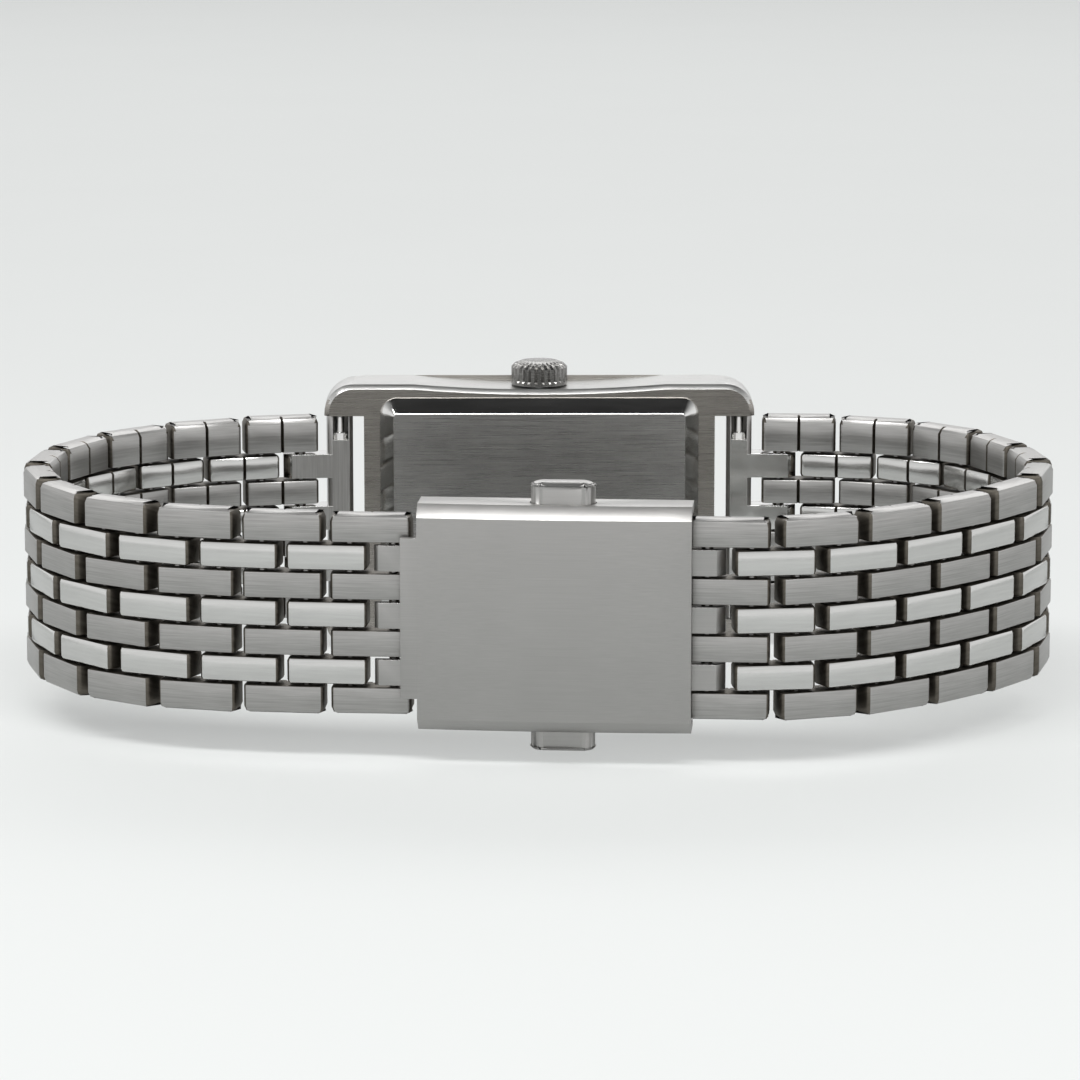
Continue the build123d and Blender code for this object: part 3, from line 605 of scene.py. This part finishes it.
def makeCrown():
    low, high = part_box("crown")
    centre = (low + high) / 2
    height, radius = high.z - low.z, (high.x - low.x) / 2
    body = height - crown["dome"] * mm
    sides = crown["flutes"] * crown["fluteSteps"]
    bpy.ops.mesh.primitive_cylinder_add(vertices=sides, radius=radius, depth=body,
                                        location=(centre.x, centre.y, low.z + body / 2))
    piece = bpy.context.object
    bakePlace(piece)
    edit(piece)
    levels = (crown["skirt"], crown["skirt"] + crown["skirtEdge"],
              (body / mm) - crown["topRound"])
    for level in levels:
        bpy.ops.mesh.select_all(action="SELECT")
        bpy.ops.mesh.bisect(plane_co=(0, 0, low.z + level * mm), plane_no=(0, 0, 1))
    step = 2 * pi / sides
    fluteStart = low.z + (crown["skirt"] + crown["skirtEdge"] / 2) * mm

    def inFlute(v):
        turn = round(atan2(v.co.y - centre.y, v.co.x - centre.x) / step)
        return turn % crown["fluteSteps"] == 0 and v.co.z > fluteStart

    def narrow(share):
        bpy.ops.transform.resize(value=(share, share, 1),
                                 center_override=(centre.x, centre.y, low.z))

    pick(piece, "VERT", inFlute)
    narrow(1 - crown["fluteDepth"] * mm / radius)
    pick(piece, "VERT", lambda v: v.co.z > low.z + body - tiny)
    narrow(1 - crown["topRound"] * mm / radius)
    # the cap steps in, then rises in four steps to a low dome
    pick(piece, "FACE", lambda f: f.normal.z > straight and len(f.verts) > crown["capCorners"])
    for share, rise in crown["domeShares"]:
        lift = (0, 0, rise * crown["dome"] * mm)
        bpy.ops.mesh.extrude_region_move(TRANSFORM_OT_translate={"value": lift})
        narrow(share)
    done()
    smooth(piece, crown["smooth"])
    return piece


crownPiece = makeCrown()
crownPiece.name = "crown_fluted"
# the crown's steel carries painted shade
paint(crownPiece, [crownSteelShaded])
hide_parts("crown")
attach(crownPiece, "crown")
print("crown made")

# Spring bars: a tube with a sprung shouldered tip at each end, in mm
springBar = {"radius": 0.75, "tipRadius": 0.4, "shoulder": 7.45, "sides": 28,
             "edge": 0.05, "edgeSteps": 2, "smooth": 32}


def makeSpringBar(strand):
    place = Vector(joints[strand + "_end_piece_pivot"]["pos_m"])
    low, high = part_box("spring_bars")
    half, shoulder = (high.z - low.z) / 2, springBar["shoulder"] * mm
    bpy.ops.mesh.primitive_cylinder_add(
        vertices=springBar["sides"], radius=springBar["radius"] * mm, depth=2 * shoulder,
        location=(place.x, place.y, boxCentre("spring_bars").z))
    bar = bpy.context.object
    bakePlace(bar)
    edit(bar)
    for side in (1, -1):
        pick(bar, "FACE", lambda f: f.normal.z * side > straight)
        bpy.ops.mesh.inset(thickness=(springBar["radius"] - springBar["tipRadius"]) * mm)
        bpy.ops.mesh.extrude_region_move(TRANSFORM_OT_translate={
            "value": (0, 0, side * (half - shoulder))})
    pick(bar, "EDGE", lambda e: not upright(e))
    bpy.ops.mesh.bevel(offset=springBar["edge"] * mm, segments=springBar["edgeSteps"],
                       affect="EDGES")
    done()
    smooth(bar, springBar["smooth"])
    return bar


bars = [makeSpringBar(strand) for strand in ("twelve", "six")]
barPiece = join(bars, "spring_bars_turned")
paint(barPiece, [steelPolished])
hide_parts("spring_bars")
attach(barPiece, "case")
print("spring bars made")

# The other solids keep their form and get their material
carriedOver = {
    "stem": steelPolished, "crystal": crystalGlass, "seals": sealRubber,
    "movement": nickelPlate, "hour_hand": bluedSteel, "minute_hand": bluedSteel,
    "dial": silveredDial(boxCentre("dial")),
}
for node, material in carriedOver.items():
    paint(nodes[node], [material])
print("carried-over solids painted")

# Studio: pale seamless table, two softboxes and a sky that is dark overhead
studio = {
    # matt paper, very slightly uneven: its clouds are this many mm across
    "table": "#A9ABAA", "tableDark": "#A6A8A7", "pale": "#E9EBEA", "side": 6.0,
    "paper": {"Roughness": 0.75, "IOR": 1.45}, "cloud": 40, "cloudDetail": 3.0,
    # the camera's place in mm, its turns in degrees, its lens and sensor in mm
    "camera": (-1.746, -401.98, 89.90), "pitch": -10.755, "yaw": 0.262, "lens": 163.23,
    "sensor": 36.0, "clip": (0.01, 20.0),
    # the sky's brightness by height: walls, edge of the walls, dark ceiling
    "sky": ((0.0, 0.95), (0.35, 0.85), (0.65, 0.4), (0.88, 0.03)),
    # the glow that lifts the paper's tone, as the eye sees it and as the steel mirrors it
    "glowSeen": 0.44, "glowMirrored": 0.2,
    # each lamp's name, place, target, size in metres and power in watts
    "lamps": (
        ("frontBox", (-0.05, -0.25, 0.45), (0, 0, 0.01), (0.7, 0.12), 2.8),
        ("backBox", (0.0, 0.7, 0.5), (0, 0.1, 0.0), (1.4, 0.25), 2.4),
    ),
}


def makeTable():
    bpy.ops.mesh.primitive_plane_add(size=studio["side"], location=(0, 0, 0))
    table = bpy.context.object
    table.name = "table"
    material, tree, shader = startMaterial("paperTable", studio["paper"])
    where = addNode(tree, "ShaderNodeTexCoord").outputs["Object"]
    noise = addNode(tree, "ShaderNodeTexNoise",
                    {"Scale": 1 / (studio["cloud"] * mm), "Detail": studio["cloudDetail"]},
                    {"Vector": where})
    ramp = addNode(tree, "ShaderNodeValToRGB", links={"Fac": noise.outputs["Fac"]})
    ramp.color_ramp.elements[0].color = linearColor(studio["tableDark"])
    ramp.color_ramp.elements[1].color = linearColor(studio["table"])
    tree.links.new(ramp.outputs[0], shader.inputs["Base Color"])
    # an even glow lifts the paper's tone for the eye, and less so in the steel's reflections,
    # and lights nothing; the watch's soft shadow stays
    paths = addNode(tree, "ShaderNodeLightPath").outputs
    bent = addNode(tree, "ShaderNodeMath", {"operation": "MAXIMUM"},
                   {0: paths["Is Glossy Ray"], 1: paths["Is Transmission Ray"]}).outputs[0]
    bent = addNode(tree, "ShaderNodeMath", {"operation": "MULTIPLY", 1: studio["glowMirrored"]},
                   {0: bent}).outputs[0]
    level = addNode(tree, "ShaderNodeMath", {"operation": "MULTIPLY_ADD", 1: studio["glowSeen"]},
                    {0: paths["Is Camera Ray"], 2: bent})
    glow = addNode(tree, "ShaderNodeEmission", {"Color": linearColor(studio["pale"])},
                   {"Strength": level.outputs[0]})
    both = addNode(tree, "ShaderNodeAddShader", links={0: shader.outputs[0], 1: glow.outputs[0]})
    output = [n for n in tree.nodes if n.bl_idname == "ShaderNodeOutputMaterial"][0]
    tree.links.new(both.outputs[0], output.inputs["Surface"])
    paint(table, [material])


def makeWorld():
    world = bpy.data.worlds.new("studioSky")
    bpy.context.scene.world = world
    world.use_nodes = True
    tree = world.node_tree
    tree.nodes.clear()
    where = addNode(tree, "ShaderNodeTexCoord").outputs["Generated"]
    height = addNode(tree, "ShaderNodeSeparateXYZ", links={0: where}).outputs[2]
    ramp = addNode(tree, "ShaderNodeValToRGB", links={"Fac": height})
    stops = ramp.color_ramp.elements
    while len(stops) < len(studio["sky"]):
        stops.new(0.5)
    for stop, (place, level) in zip(stops, studio["sky"]):
        stop.position, stop.color = place, (level,) * 3 + (1,)
    sky = addNode(tree, "ShaderNodeBackground", {"Strength": 1.0}, {"Color": ramp.outputs[0]})
    pale = addNode(tree, "ShaderNodeBackground",
                   {"Color": linearColor(studio["pale"]), "Strength": 1.0})
    seen = addNode(tree, "ShaderNodeLightPath").outputs["Is Camera Ray"]
    mixed = addNode(tree, "ShaderNodeMixShader", links={0: seen})
    tree.links.new(sky.outputs[0], mixed.inputs[1])
    tree.links.new(pale.outputs[0], mixed.inputs[2])
    addNode(tree, "ShaderNodeOutputWorld", links={0: mixed.outputs[0]})


def makeLamps():
    for name, place, target, size, power in studio["lamps"]:
        light = bpy.data.lights.new(name, "AREA")
        light.shape = "RECTANGLE"
        light.size, light.size_y = size
        light.energy = power
        lamp = bpy.data.objects.new(name, light)
        bpy.context.scene.collection.objects.link(lamp)
        lamp.location = place
        lamp.rotation_euler = (Vector(target) - Vector(place)).to_track_quat("-Z", "Y").to_euler()


def makeCamera():
    data = bpy.data.cameras.new("camera")
    data.sensor_width = studio["sensor"]
    data.lens = studio["lens"]
    data.clip_start, data.clip_end = studio["clip"]
    camera = bpy.data.objects.new("camera", data)
    bpy.context.scene.collection.objects.link(camera)
    camera.location = [v * mm for v in studio["camera"]]
    camera.rotation_euler = (radians(90 + studio["pitch"]), 0, radians(-studio["yaw"]))
    bpy.context.scene.camera = camera


makeTable()
makeWorld()
makeLamps()
makeCamera()
bpy.context.scene.view_settings.view_transform = "Standard"
print("studio set")
